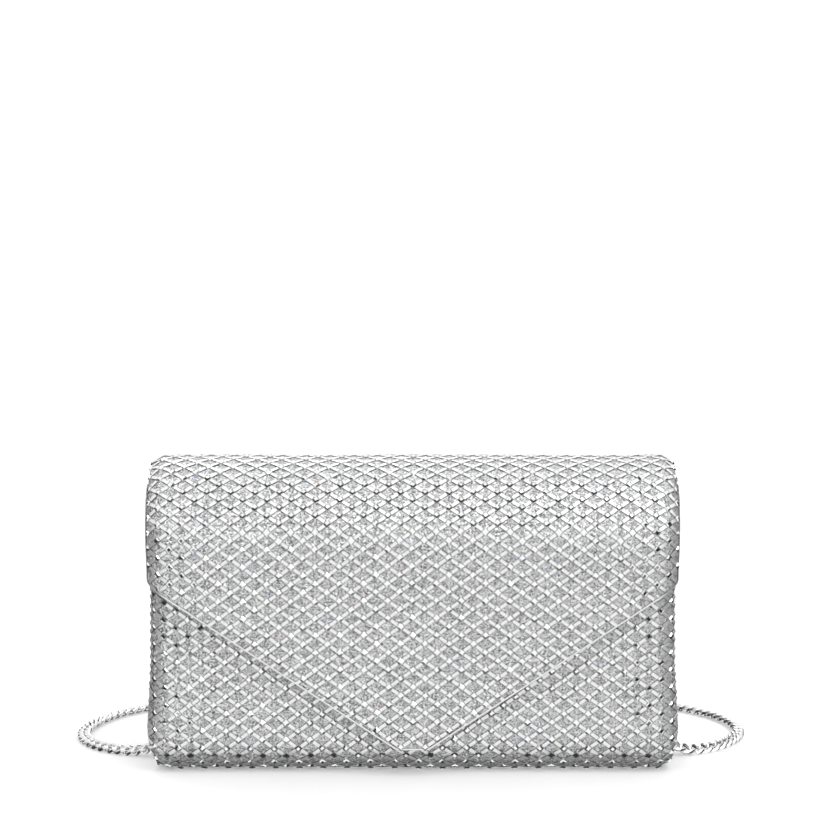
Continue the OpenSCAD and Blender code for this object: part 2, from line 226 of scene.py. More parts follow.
def foil_material():
    """Pressed silver foil strips, slightly uneven, with painted dark shade along their feet."""
    painted_foot_shade = (0.05, 0.05, 0.053, 1)
    m = Material("foil_strip", Metallic=0.7)
    uneven = m.noise(m.cloth(), 1.1, 3)
    fine = m.noise(m.cloth(), 6.0, 2)
    height = m.node("SeparateXYZ", m.cloth()).outputs["Z"]
    raised = m.math("ADD", height, m.spread(fine, 0.2, 0.8, -0.05, 0.05))
    foil = m.ramp(uneven, (0.25, 0.84), (0.75, 0.97))
    # Every part of a strip lower than about 0.2 mm, its feet and its sloping ends, is painted near-black as shade.
    m.set(
        Base_Color=m.mix(m.spread(raised, 0.2, 0.3, 0, 1), painted_foot_shade, foil),
        Roughness=m.spread(fine, 0.3, 0.7, 0.26, 0.45),
    )
    m.bump(uneven, 0.35, 0.0003)
    return m.data


def stud_material():
    """Mirror studs with faint scratches."""
    m = Material("mirror_stud", Metallic=1.0)
    scuffs = m.noise(m.cloth(), 3.0, 4, 0.7)
    m.set(
        Base_Color=m.ramp(scuffs, (0.2, 0.88), (0.8, 0.97)),
        Roughness=m.spread(scuffs, 0.3, 0.75, 0.03, 0.1),
    )
    m.bump(m.noise(m.cloth(), 0.9, 1), 0.2, 0.0002)
    return m.data


def satin_material():
    """Silver-grey satin: long floats across a fine twill, with soft cloudy lustre."""
    dull, bright = (0.4, 0.4, 0.425, 1), (0.64, 0.64, 0.665, 1)
    m = Material("satin_lining", Sheen_Weight=0.35, Sheen_Roughness=0.3, Anisotropic=0.5)
    floats = m.bands(m.cloth(), 1.5, 1.2)
    slubs = m.noise(m.vector("MULTIPLY", m.cloth(), (0.3, 3.0, 1.0)), 1.0, 3)
    lustre = m.math("ADD", m.noise(m.cloth(), 0.05, 4), m.spread(slubs, 0.3, 0.7, -0.3, 0.3))
    m.set(Base_Color=m.mix(lustre, dull, bright), Roughness=m.spread(slubs, 0.3, 0.7, 0.3, 0.5))
    m.bump(m.math("ADD", m.math("MULTIPLY", floats, 0.4), slubs), 0.35, 0.0002)
    return m.data


def trim_material():
    """Silver-coated leather cloth: pebbled grain, with the coat worn unevenly."""
    m = Material("silver_trim", Metallic=0.55, Coat_Weight=0.15, Coat_Roughness=0.3)
    pebbles = m.cells(m.cloth(), 1.1, "Distance", "DISTANCE_TO_EDGE")
    creases = m.noise(m.cloth(), 0.35, 5, 0.6)
    height = m.math("ADD", m.spread(pebbles, 0, 0.25, 0, 1), m.math("MULTIPLY", creases, 0.8))
    worn = m.noise(m.cloth(), 0.08, 4)
    m.set(
        Base_Color=m.mix(worn, (0.52, 0.52, 0.53, 1), (0.72, 0.72, 0.73, 1)),
        Roughness=m.spread(creases, 0.3, 0.7, 0.34, 0.52),
    )
    m.bump(height, 0.5, 0.00025)
    return m.data


def thread_material():
    """Pale twisted thread."""
    m = Material("thread", Sheen_Weight=0.3)
    m.set(Base_Color=m.ramp(m.noise(m.place(), 3, 2), (0.3, 0.5), (0.7, 0.68)), Roughness=0.6)
    m.bump(m.bands(m.place(), 1.4), 0.5, 0.0001)
    return m.data


def board_material():
    """Grey-brown fibre board with flecks."""
    m = Material("stiffener_board", Roughness=0.85)
    flecks = m.noise(m.place(), 1.6, 6, 0.7)
    m.set(Base_Color=m.ramp(flecks, (0.3, (0.33, 0.27, 0.2)), (0.7, (0.55, 0.47, 0.37))))
    m.bump(flecks, 0.4, 0.0003)
    return m.data


def foam_material():
    """Pale foam with open pores, painted darker in their hollows as shade."""
    m = Material("soft_foam", Roughness=0.9, Subsurface_Weight=0.1)
    pore_depth_and_shade = m.cells(m.place(), 1.3, "Distance")
    # The pores' hollows, which the bump sinks, are painted darker: painted shade.
    m.set(Base_Color=m.ramp(pore_depth_and_shade, (0.0, 0.6), (0.6, 0.84)))
    m.bump(pore_depth_and_shade, 0.5, 0.0004)
    return m.data


def plated_material(name, grey, scratch):
    """Polished silver plating with hairline scratches and slightly duller hollows."""
    m = Material(name, Metallic=1.0)
    hairlines = m.noise(m.vector("MULTIPLY", m.place(), (0.4, 0.4, 4.0)), 1.0, 4, 0.7)
    dull = m.noise(m.place(), 0.25, 3)
    scratched = m.spread(hairlines, 0.3, 0.8, 0.06, scratch)
    m.set(
        Base_Color=m.ramp(dull, (0.3, grey * 0.88), (0.7, grey)),
        Roughness=m.math("ADD", scratched, m.spread(dull, 0.4, 0.8, 0, 0.08)),
    )
    m.bump(hairlines, 0.12, 0.00008)
    return m.data


GLITTER = glitter_material()
FOIL = foil_material()
STUD = stud_material()
SATIN = satin_material()
TRIM = trim_material()
THREAD = thread_material()
BOARD = board_material()
FOAM = foam_material()
PLATED = plated_material("silver_plating", 0.9, 0.22)
CHAIN_METAL = plated_material("chain_plating", 0.86, 0.26)

# The record's material slots, and the material that stands for each
LOOK_OF_SLOT = {
    "stiffener_board": BOARD, "foam": FOAM, "satin_lining": SATIN, "silver_trim": TRIM,
    "hardware": PLATED, "chain_metal": CHAIN_METAL, "glitter_fabric": GLITTER,
}
SLOT_OF_LOOK = {look.name: slot for slot, look in LOOK_OF_SLOT.items()}
SLOT_OF_LOOK |= {FOIL.name: "glitter_fabric", STUD.name: "glitter_fabric", THREAD.name: "silver_trim"}


# ---- Meshes

def make_object(name, points, faces, material, cloth=None, smooth_angle=40):
    """A mesh object from points in millimetres, its faces turned outwards."""
    mesh = bpy.data.meshes.new(name)
    mesh.from_pydata((np.asarray(points) * MM).tolist(), [], faces)
    if cloth is not None:
        layer = mesh.attributes.new("cloth", "FLOAT_VECTOR", "POINT")
        layer.data.foreach_set("vector", np.asarray(cloth, np.float32).ravel())
    work = bmesh.new()
    work.from_mesh(mesh)
    bmesh.ops.recalc_face_normals(work, faces=work.faces)
    work.to_mesh(mesh)
    work.free()
    mesh.materials.append(material)
    mesh.shade_smooth()
    mesh.set_sharp_from_angle(angle=math.radians(smooth_angle))
    made = bpy.data.objects.new(name, mesh)
    bpy.context.scene.collection.objects.link(made)
    return made


def ring_faces(first, count, rings):
    """Quads between closed rings of count points each, the first of them at index first."""
    faces = []
    for k in range(rings - 1):
        a, b = first + k * count, first + (k + 1) * count
        faces += [(a + i, a + (i + 1) % count, b + (i + 1) % count, b + i) for i in range(count)]
    return faces


def repeated(faces, points_each, count):
    """The quads of one small solid, repeated for count solids in a row."""
    faces = np.array(faces)[None] + points_each * np.arange(count)[:, None, None]
    return faces.reshape(-1, 4).tolist()


def unit(vectors):
    """The vectors that lie along the last axis, at length 1."""
    return vectors / np.linalg.norm(vectors, axis=-1, keepdims=True)


def turned_left(vectors):
    return np.column_stack([-vectors[:, 1], vectors[:, 0]])


def gone_along(line):
    """The way gone along a line, at each of its points."""
    return np.concatenate([[0], np.cumsum(np.linalg.norm(np.diff(line, axis=0), axis=1))])


def smoothstep(x, low, high):
    t = np.clip((np.asarray(x, float) - low) / (high - low), 0, 1)
    return t * t * (3 - 2 * t)


class Profile:
    """A line in the side view (y, z), straight stretches and left-hand arcs, by its length."""

    def __init__(self, start, heading, steps):
        self.parts = []
        self.length = 0
        p, a = np.array(start, float), math.radians(heading)
        for length, turn in steps:
            self.parts.append((self.length, length, p, a, math.radians(turn)))
            self.length += length
            p = self.at(np.array([self.length]))[0][0]
            a += math.radians(turn)
        self.end = p

    def at(self, s):
        """Points and headings at the lengths s. Past either end the line goes straight on."""
        s = np.asarray(s, float)
        yz, heading = np.zeros((len(s), 2)), np.zeros(len(s))
        for k, (s0, length, p, a, turn) in enumerate(self.parts):
            here = s >= s0 if k else np.full(len(s), True)
            inside = np.clip(s[here] - s0, 0, length)
            past = (s[here] - s0 - inside)[:, None]
            now = a + turn * inside / length
            if turn:
                yz[here] = p + length / turn * (left_of(np.full(len(now), a)) - left_of(now))
            else:
                yz[here] = p + inside[:, None] * ahead(now)
            yz[here] += past * ahead(now)
            heading[here] = now
        return yz, heading


def ahead(a):
    return np.stack([np.cos(a), np.sin(a)], -1)


def left_of(a):
    return np.stack([-np.sin(a), np.cos(a)], -1)


class Cloth:
    """Fabric along a profile, rolled back at its two sides. u runs across the bag and s along the
    profile, both on the cloth, and h stands out from it, all in millimetres."""

    roll_r = 11

    def __init__(self, profile, stations):
        """Each station is (s, half of the width as seen, degrees that the sides turn back)."""
        self.profile = profile
        self.stations = list(zip(*stations))

    def edge(self, s):
        """Half of the width as seen, and how far the sides turn back, in radians."""
        at, half, turn = self.stations
        return np.interp(s, at, half), np.radians(np.interp(s, at, turn))

    def half_cloth(self, s):
        """From the middle to the side edge, measured on the cloth."""
        half, turn = self.edge(s)
        return half - self.roll_r * np.sin(turn) + self.roll_r * turn

    def wave(self, u, s):
        """The soft unevenness of the padding under the cloth."""
        rise = np.sin(u / 19 + 0.7) * np.sin(s / 16 + 1.1) + 0.6 * np.sin(u / 11 + s / 23 + 2)
        return 0.3 * 0.4 * rise

    def at(self, u, s, h):
        u, s, h = (np.asarray(v, float) for v in np.broadcast_arrays(u, s, h))
        half, turn = self.edge(s)
        flat = half - self.roll_r * np.sin(turn)
        side, across = np.sign(u), np.abs(u)
        a = np.clip((across - flat) / self.roll_r, 0, turn)
        past = np.maximum(across - flat - self.roll_r * a, 0)
        lift = h + self.wave(u, s) * (1 - a / 1.3)
        x = np.minimum(across, flat) + self.roll_r * np.sin(a) + past * np.cos(a) + lift * np.sin(a)
        drop = self.roll_r * (1 - np.cos(a)) + past * np.sin(a) - lift * np.cos(a)
        yz, heading = self.profile.at(s)
        yz = yz + left_of(heading) * drop[:, None]
        return np.column_stack([side * x, yz])


class Outline:
    """A convex outline with round corners. A margin moves it in on all edges but the cut ones."""

    STEP, ARC = 2.5, 6      # millimetres between points, and points on each round corner

    def __init__(self, corners, radii, cut=()):
        self.corners, self.radii, self.cut = np.array(corners, float), radii, cut
        ends = np.roll(self.corners, -1, 0)
        self.counts = [max(1, round(np.linalg.norm(b - a) / self.STEP)) for a, b in zip(self.corners, ends)]
        self.along = unit(ends - self.corners)
        normal = turned_left(self.along)
        inwards = np.sign(((self.corners.mean(0) - self.corners) * normal).sum(1))
        self.normal = normal * inwards[:, None]

    def moved(self, margin):
        n = len(self.corners)
        by = [0 if i in self.cut else margin for i in range(n)]
        found = []
        for i in range(n):
            j = (i - 1) % n
            a = self.corners[i] + self.normal[i] * by[i]
            b = self.corners[j] + self.normal[j] * by[j]
            t = np.linalg.solve(np.column_stack([self.along[j], -self.along[i]]), a - b)[0]
            found.append(b + t * self.along[j])
        return found

    def points(self, margin):
        """The outline moved in by margin. The number of points is always the same."""
        corners = self.moved(margin)
        n = len(corners)
        arcs = []
        for i, corner in enumerate(corners):
            back, on = -self.along[(i - 1) % n], self.along[i]
            half = math.acos(np.clip(back @ on, -1, 1)) / 2
            r = max(self.radii[i] - margin, 0.2) if self.radii[i] else 0.01
            middle = (back + on) / np.linalg.norm(back + on)
            centre = corner + middle * r / math.sin(half)
            a = corner + back * r / math.tan(half) - centre
            b = corner + on * r / math.tan(half) - centre
            arcs.append([centre + turn_between(a, b, k / self.ARC) for k in range(self.ARC + 1)])
        made = []
        for i in range(n):
            made += arcs[i]
            a, b = arcs[i][-1], arcs[(i + 1) % n][0]
            made += [a + (b - a) * k / self.counts[i] for k in range(1, self.counts[i])]
        return np.array(made)

    def depth(self, points, cut_too=True):
        """How far inside the outline's straight edges points lie."""
        gaps = [(points - c) @ n for c, n in zip(self.corners, self.normal)]
        return np.min([gap for k, gap in enumerate(gaps) if cut_too or k not in self.cut], 0)

    def filling(self, margin, step):
        """A staggered grid of points inside the outline."""
        low, high = self.corners.min(0), self.corners.max(0)
        rows = np.arange(low[1], high[1], step)
        columns = np.arange(low[0], high[0], step)
        x, y = np.meshgrid(columns, rows)
        x = x + (np.arange(len(rows)) % 2)[:, None] * step / 2
        grid = np.column_stack([x.ravel(), y.ravel()])
        return grid[self.depth(grid) > margin + 0.6 * step]


def turn_between(a, b, t):
    """From vector a round to vector b."""
    angle = math.atan2(a[0] * b[1] - a[1] * b[0], a @ b) * t
    c, s = math.cos(angle), math.sin(angle)
    return np.array([a[0] * c - a[1] * s, a[0] * s + a[1] * c])


def level(height, s):
    """A height that may be a function of s, as an array."""
    return height(s) if callable(height) else np.full(np.shape(s), float(height))


def sheet_solid(name, cloth, outline, rings, material, step=2.5):
    """A closed sheet. Each ring is (margin, height or function of s): from the outer face, round
    the edge, to the inner face. The outline runs from -FLAP_HALF to FLAP_HALF across the cloth."""
    ring_points = [outline.points(margin) for margin, _ in rings]
    count = len(ring_points[0])
    filling = outline.filling(max(rings[0][0], rings[-1][0]), step)
    flat = [Vector(p) for p in np.vstack([ring_points[0], filling])]
    inside_loop, tolerance = 1, 1e-7
    _, _, triangles, origin, _, _ = geometry.delaunay_2d_cdt(
        flat, [], [list(range(count))], inside_loop, tolerance
    )
    triangles = [[origin[i][0] for i in t] for t in triangles]

    def lifted(points, height):
        s = points[:, 1]
        u = points[:, 0] / FLAP_HALF * cloth.half_cloth(s)
        return np.column_stack([u, s, level(height, s)])

    parts = [lifted(p, h) for p, (_, h) in zip(ring_points, rings)]
    parts += [lifted(filling, rings[0][1]), lifted(filling, rings[-1][1])]
    fabric = np.vstack(parts)
    first_fill = count * len(rings)

    def face(ring_start, fill_start):
        return [
            tuple(ring_start + i if i < count else fill_start + i - count for i in t)
            for t in triangles
        ]

    faces = face(0, first_fill) + ring_faces(0, count, len(rings))
    faces += face(count * (len(rings) - 1), first_fill + len(filling))
    return make_object(name, cloth.at(*fabric.T), faces, material, fabric)


def plain_rings(outer, inner, corner=0.25):
    """Rings of a plain sheet with a round edge, between two heights."""
    def mixed(t):
        return lambda s: level(outer, s) * (1 - t) + level(inner, s) * t
    turns = [math.radians(a) for a in (0, 30, 60, 90, 120, 150, 180)]
    return [(corner * (1 - math.sin(t)), mixed((1 - math.cos(t)) / 2)) for t in turns]


def turned_rings(thickness, hem):
    """Rings of a skin turned round an edge. The thickness of what it wraps may change with s."""
    def down(share, more=0.0):
        return lambda s: -level(thickness, s) * share + more
    r, hem_t = 1.1, 0.4
    turns = [math.radians(a) for a in (0, 22, 45, 67, 90, 113, 135, 158, 180)]
    rings = [(r * (1 - math.sin(t)), down((1 - math.cos(t)) / 2)) for t in turns]
    return rings + [
        (hem, down(1)), (hem + 0.2, down(1, hem_t / 2)), (hem, down(1, hem_t)),
        (r + 1.2, down(1, hem_t)), (r + 0.9, down(0.5)), (r + 1.2, -SKIN_T),
    ]


# ---- The frame's own places, in millimetres

def joint_place(name):
    return np.array(next(j["pos_m"] for j in frame["joints"] if j["name"] == name)) / MM


def low(node):
    return np.array(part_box(node)[0]) / MM


def high(node):
    return np.array(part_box(node)[1]) / MM


FOLD = joint_place("flap_top_fold")
BACK_Y = FOLD[1]
TIP_Z = low("flap_front_skin")[2]
FRONT_H = high("front_skin")[2]
WING_SLOPE = 0.68       # rise of the flap's slanted edges
TIP_HALF = 7.5
PANEL_GAP = 4.9         # between the faces of the flap's front and the front panel
WALL = 2.65             # from the body's outer face to its inside
SPLIT_S = 36            # where the flap's skin is parted, on the soft top
FLAP_START_S = -0.22    # just past the fold, so that no slit opens there
HEM_DEPTH = 2.45

tan_lean, cos_lean = math.tan(math.radians(LEAN)), math.cos(math.radians(LEAN))
flap_line = Profile((BACK_Y, FOLD[2] + 0.2), 90, TOP_STEPS + [FRONT_BEND])
TOP_END_S = sum(length for length, _ in TOP_STEPS)
TIP_S = flap_line.length + (flap_line.end[1] - TIP_Z) / cos_lean
WING_S = TIP_S - (FLAP_HALF - TIP_HALF) * WING_SLOPE / cos_lean

front_top_y = flap_line.end[0] - (flap_line.end[1] - FRONT_H) * tan_lean + PANEL_GAP / cos_lean
front_len = (FRONT_H - FRONT_ROLL_R * (1 + math.sin(math.radians(LEAN)))) / cos_lean
front_steps = [(front_len, 0), (FRONT_ROLL_R * math.radians(90 + LEAN), 90 + LEAN)]
base_start = Profile((front_top_y, FRONT_H), 270 - LEAN, front_steps).end
base_len = BACK_Y - BACK_ROLL_R - base_start[0]
body_steps = front_steps + [(base_len, 0), (BACK_ROLL_R * math.pi / 2, 90), (FOLD[2] - BACK_ROLL_R, 0)]
body_line = Profile((front_top_y, FRONT_H), 270 - LEAN, body_steps)
BASE_S = sum(length for length, _ in front_steps)
BACK_S = BASE_S + base_len + body_steps[3][0]
BODY_END_S = body_line.length
GUSSET_TOP_S = BACK_S + FRONT_H - BACK_ROLL_R

flap_cloth = Cloth(flap_line, [
    (0, 126, 30), (14, 127, 50), (50, 127.3, 60), (90, 126, 64), (300, 126, 64),
])
body_cloth = Cloth(body_line, [
    (0, 125, 64), (50, 125.5, 64), (front_len - 5, 127.5, 64), (front_len + 10, 126, 60), (BASE_S, 124, 50),
    (BASE_S + base_len, 123, 30), (BACK_S, 124, 30), (BODY_END_S, 126, 30),
])


# ---- Cloth pieces

def flap_thickness(s):
    """How far inside the flap's face its turned hem lies: foam in the top, board in the front."""
    grow = HEM_DEPTH + 1.3 * smoothstep(s, 0, 8)
    return grow - 1.55 * smoothstep(s, TOP_END_S - 22, TOP_END_S)


def rectangle(half, low_s, high_s, radii, cut=()):
    """The outline of a straight stretch of cloth."""
    return Outline([(-half, low_s), (half, low_s), (half, high_s), (-half, high_s)], radii, cut)


def flap_rear_outline(margin=0):
    return rectangle(FLAP_HALF - margin, FLAP_START_S, SPLIT_S, [0] * 4, (0, 2))


def flap_front_corners(margin=0):
    """The pointed front from the split down, its sides and point moved in by margin."""
    w = FLAP_HALF - margin
    slope = WING_SLOPE / cos_lean
    wing = WING_S - margin * (math.sqrt(1 + slope * slope) - slope)
    tip = TIP_S - margin
    half_tip = w - (tip - wing) / slope
    return [(-w, SPLIT_S), (w, SPLIT_S), (w, wing), (half_tip, tip), (-half_tip, tip), (-w, wing)]


def flap_front_outline(margin=0):
    return Outline(flap_front_corners(margin), [0, 0, 3, 3, 3, 3], (0,))


FLAP_REAR = flap_rear_outline()
FLAP_FRONT = flap_front_outline()
BODY = rectangle(FLAP_HALF, 0, BODY_END_S, [2, 2, 0, 0], (2,))


def bend_over_back(piece):
    """Bakes the placement of cloth between the back panel and the soft top into its mesh. Nothing turns it at the
    fold.
    """
    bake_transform(piece)


def bend_over_front(piece):
    """Bakes the placement of cloth between the soft top and the pointed front into its mesh. The crease's two ends
    are found, but nothing turns the cloth along it.
    """
    start, end = flap_line.at([TOP_END_S - 9, TOP_END_S + 1])[0] * MM
    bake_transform(piece)


def finish_piece(piece, holder, *stands_for):
    """The holder is the body that a piece rides on, or a function that bakes its placement into its mesh."""
    if callable(holder):
        holder(piece)
    else:
        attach(piece, holder)
    if stands_for:
        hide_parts(*stands_for)
    return piece


def cloth_piece(name, cloth, outline, rings, material, holder, *stands_for, step=2.5):
    return finish_piece(sheet_solid(name, cloth, outline, rings, material, step), holder, *stands_for)


def make_skins():
    flap, body = turned_rings(flap_thickness, 12), turned_rings(HEM_DEPTH, 13)
    cloth_piece("flap_skin_rear", flap_cloth, FLAP_REAR, flap, GLITTER, bend_over_back, "flap_top_skin")
    cloth_piece(
        "flap_skin_front", flap_cloth, FLAP_FRONT, flap, GLITTER, bend_over_front, "flap_front_skin"
    )
    nodes = ("front_skin", "base_skin", "back_skin")
    cloth_piece("body_skin", body_cloth, BODY, body, GLITTER, "bag_body", *nodes)


def make_linings():
    def under(s):
        return -flap_thickness(s) + 0.35 * (1 - smoothstep(s, 0, 8))
    rings = plain_rings(under, lambda s: under(s) - 0.4)
    inset = 3
    for name, outline, bend, node in (
        ("flap_lining_rear", flap_rear_outline(inset), bend_over_back, "flap_top_lining"),
        ("flap_lining_front", flap_front_outline(inset), bend_over_front, "flap_front_lining"),
    ):
        cloth_piece(name, flap_cloth, outline, rings, SATIN, bend, node)
    half = 112
    inner = rectangle(half, 0.5, GUSSET_TOP_S, [1, 1, 0, 0], (2,))
    upper = rectangle(half + 10, GUSSET_TOP_S, BODY_END_S, [2, 2, 0, 0], (2,))
    rings = plain_rings(-2.1, -2.6)
    nodes = ("front_lining", "base_lining", "back_lining")
    piece = cloth_piece("body_lining", body_cloth, inner, rings, SATIN, "bag_body", *nodes)
    cloth_piece("back_lining_upper", body_cloth, upper, rings, SATIN, "bag_body")


def make_padding():
    """The foam sheet under the soft top, and the filler in the two rolled bottom edges."""
    face, coarse = -0.9, 4

    def pad_back(s):
        thinner = 1 - 0.6 * smoothstep(s, 45, TOP_END_S - 9)
        return -0.85 - (3.3 - 0.85) * smoothstep(s, -2, 8) * thinner

    top = rectangle(119, 1, TOP_END_S - 10, [4] * 4)
    front = rectangle(117, front_len, BASE_S, [2] * 4)
    back = rectangle(117, BASE_S + base_len, BACK_S, [2] * 4)
    for name, cloth, outline, rings, holder, nodes in (
        ("top_foam_pad", flap_cloth, top, plain_rings(face, pad_back, 1.2), bend_over_back, ["flap_foam"]),
        ("front_edge_filler", body_cloth, front, plain_rings(face, -2.05, 0.5), "bag_body", ["edge_foam"]),
        ("back_edge_filler", body_cloth, back, plain_rings(face, -2.05, 0.5), "bag_body", []),
    ):
        pad = cloth_piece(name, cloth, outline, rings, FOAM, holder, *nodes, step=coarse)


# ---- Small soft pieces

def swept(name, sections, material):
    """A closed section, as an array (stations, points, 3), joined along its stations and capped."""
    n, m, _ = sections.shape
    gone = gone_along(sections.mean(1))
    round_it = np.linalg.norm(np.roll(sections, -1, 1) - sections, axis=2).mean(0)
    over = np.concatenate([[0], np.cumsum(round_it)[:-1]])
    cloth = np.stack(np.broadcast_arrays(over[None, :], gone[:, None], 0.0), -1)
    faces = ring_faces(0, m, n) + [tuple(range(m)), tuple(range((n - 1) * m, n * m))]
    return make_object(name, sections.reshape(-1, 3), faces, material, cloth.reshape(-1, 3))


def stitches(name, seams, holder, pitch=3.6, length=2.5, thick=0.3):
    """Thread stitches along seams. Each seam is a line of points and the outward directions."""
    # Rings along a stitch: share of its length, of its thickness, and how far it stands out
    shape = [(-0.5, 0.35, -0.25), (-0.38, 0.9, 0.3), (0, 1, 0.55), (0.38, 0.9, 0.3), (0.5, 0.35, -0.25)]
    round_it = np.linspace(0, 2 * math.pi, 6, endpoint=False)
    points = []
    for line, out in seams:
        gone = gone_along(line)
        count = max(1, int(gone[-1] / pitch))
        at = (np.arange(count) + 0.5) * gone[-1] / count
        centre = along_path(line, gone, at)
        forward = unit(along_path(line, gone, at + 0.3) - centre)
        outwards = unit(along_path(out, gone, at))
        side = np.cross(forward, outwards)
        for k in range(count):
            for along, fat, rise in shape:
                for a in round_it:
                    off = thick * fat * (math.cos(a) * side[k] + math.sin(a) * outwards[k])
                    at_ring = centre[k] + forward[k] * along * length
                    points.append(at_ring + outwards[k] * rise * thick + off)
    one = ring_faces(0, 6, 5) + [(0, 1, 2, 3), (0, 3, 4, 5), (24, 25, 26, 27), (24, 27, 28, 29)]
    return finish_piece(make_object(name, points, repeated(one, 30, len(points) // 30), THREAD), holder)


def along_path(curve, gone, at):
    return np.column_stack([np.interp(at, gone, curve[:, k]) for k in range(3)])


def inner_y(z, first, last):
    """Where the body's inside face lies at the heights z, from its stretch first..last."""
    s = np.linspace(first, last, 200)
    yz, heading = body_line.at(s)
    yz = yz + left_of(heading) * WALL
    order = np.argsort(yz[:, 1])
    return np.interp(z, yz[order, 1], yz[order, 0])


def gusset_place(share, z, out, side):
    """A point of the folded side wall: its share of the way back, height and how far out it is."""
    front, back = inner_y(z, 0, BASE_S), inner_y(z, BACK_S, BODY_END_S)
    y = front + 0.15 + share * (back - front - 0.3)
    soft = np.linspace(-34, 40, 75)
    plan = np.interp(soft, (-34, -30, -9, 15, 36, 40), (123.5, 121, 108, 108, 121, 123.5))
    plan = np.convolve(np.pad(plan, 4, "edge"), np.ones(9) / 9, "valid")
    slack = 0.5 * np.sin(z / 13 + share * 5) * np.sin(math.pi * share)
    x = np.interp(y, soft, plan) + slack
    slope = np.interp(y, soft, np.gradient(plan, soft))
    norm = np.sqrt(1 + slope * slope)
    return np.stack([side * (x + out / norm), y - out * slope / norm, z], -1)


def gusset_sections(loop, side, count=44):
    share = np.linspace(0, 1, count)
    z, out = np.array(loop, float).T
    share, z = np.meshgrid(share, z, indexing="ij")
    return gusset_place(share, z, np.broadcast_to(out, z.shape), side)


def up_and_down(low_z, top, outer, inner, rows=14):
    """A wall's cross-section (z, out): up its outer face, over its top, and down its inner face."""
    up = np.linspace(low_z, top - 0.8, rows)
    mid, half = (outer + inner) / 2, (outer - inner) / 2
    turns = np.linspace(0.4, math.pi - 0.4, 5)
    over = [(top - 0.8 + 0.8 * math.sin(a), mid + half * math.cos(a)) for a in turns]
    return [(z, outer) for z in up] + over + [(z, inner) for z in up[::-1]]


def make_gussets():
    top = high("gusset_right")[2]
    wall, lining = up_and_down(2.9, top, 0.8, 0.0), up_and_down(2.9, top - 1.2, -0.47, -0.85)
    wall = [(z, out) for z, out in wall if out != 0.0 or z <= top - 9]
    hem = [(top - 0.7, -0.35), (top - 8.6, -0.42), (top - 9, -0.2), (top - 8.9, 0)]
    cut = next(k for k, (_, out) in enumerate(wall) if out == 0.0)
    wall[cut:cut] = hem
    for name, side in SIDES:
        piece = swept("gusset_wall_" + name, gusset_sections(wall, side), GLITTER)
        finish_piece(piece, "bag_body", "gusset_" + name)
        piece = swept("gusset_satin_" + name, gusset_sections(lining, side), SATIN)
        finish_piece(piece, "bag_body", "gusset_lining_" + name)
        seam = gusset_sections([(top - 7, 0.8), (top - 7, 3)], side)[2:-2]
        stitches("gusset_stitches_" + name, [(seam[:, 0], seam[:, 1] - seam[:, 0])], "bag_body")


def make_binding():
    """A bias strip folded over the front panel's top edge."""
    out, over, deep = 0.5, 0.9, 2.45
    loop = [
        (6, out), (3, out), (0.4, out), (-0.4, out - 0.25), (-over, -0.5), (-over, -deep + 0.5),
        (-0.4, -deep - 0.45), (0.4, -deep - 0.8), (3, -deep - 0.8), (6, -deep - 0.8), (6, -deep - 0.3),
        (0.8, -deep - 0.3), (-0.15, -deep), (-0.35, -1.2), (-0.15, -0.1), (0.8, 0.05), (6, 0.05),
    ]
    half = body_cloth.half_cloth(0) - 0.6
    u = np.linspace(-half, half, 161)
    s, h = np.array(loop).T
    grid = np.stack(np.broadcast_arrays(u[:, None], s[None], h[None]), -1)
    points = body_cloth.at(*grid.reshape(-1, 3).T).reshape(grid.shape)
    finish_piece(swept("front_edge_binding", points, TRIM), "bag_body", "front_binding")
    seam_s = 4.6
    seams = [
        seam_on(body_cloth, u, seam_s, height, math.copysign(3, height))
        for height in (out + 0.02, -deep - 0.82)
    ]
    stitches("front_binding_stitches", seams, "bag_body")


def seam_on(cloth, u, s, height, outwards=-3):
    """A line on the cloth and its outward directions."""
    line = cloth.at(u, s, height)
    return line, cloth.at(u, s, height + outwards) - line


def make_pocket():
    low_s, high_s = (BACK_S + z - BACK_ROLL_R for z in (low("slip_pocket")[2], high("slip_pocket")[2]))
    half = high("slip_pocket")[0]

    def behind(depth):
        return lambda s: -depth - smoothstep(s, low_s + 4, high_s - 4)

    outline = rectangle(half, low_s, high_s, [3, 3, 0.3, 0.3])
    rings = plain_rings(behind(2.68), behind(3.25), 0.2)
    pocket = cloth_piece("inner_pocket", body_cloth, outline, rings, SATIN, "bag_body", "slip_pocket")
    outline = rectangle(half, high_s - 3.5, high_s + 2, [1] * 4)
    rings = plain_rings(behind(3.3), behind(4.3), 0.5)
    cloth_piece("inner_pocket_binding", body_cloth, outline, rings, TRIM, "bag_body", "pocket_binding")
    w, seam_top, seam_low = half - 2.5, high_s - 6, low_s + 3
    path = np.array([(-w, seam_top), (-w, seam_low), (w, seam_low), (w, seam_top)])
    seams = []
    for a, b in zip(path[:-1], path[1:]):
        u, s = (a + (b - a) * np.linspace(0, 1, 40)[:, None]).T
        seams.append(seam_on(body_cloth, u, s, behind(3.27)(s)))
    stitches("inner_pocket_stitches", seams, "bag_body")


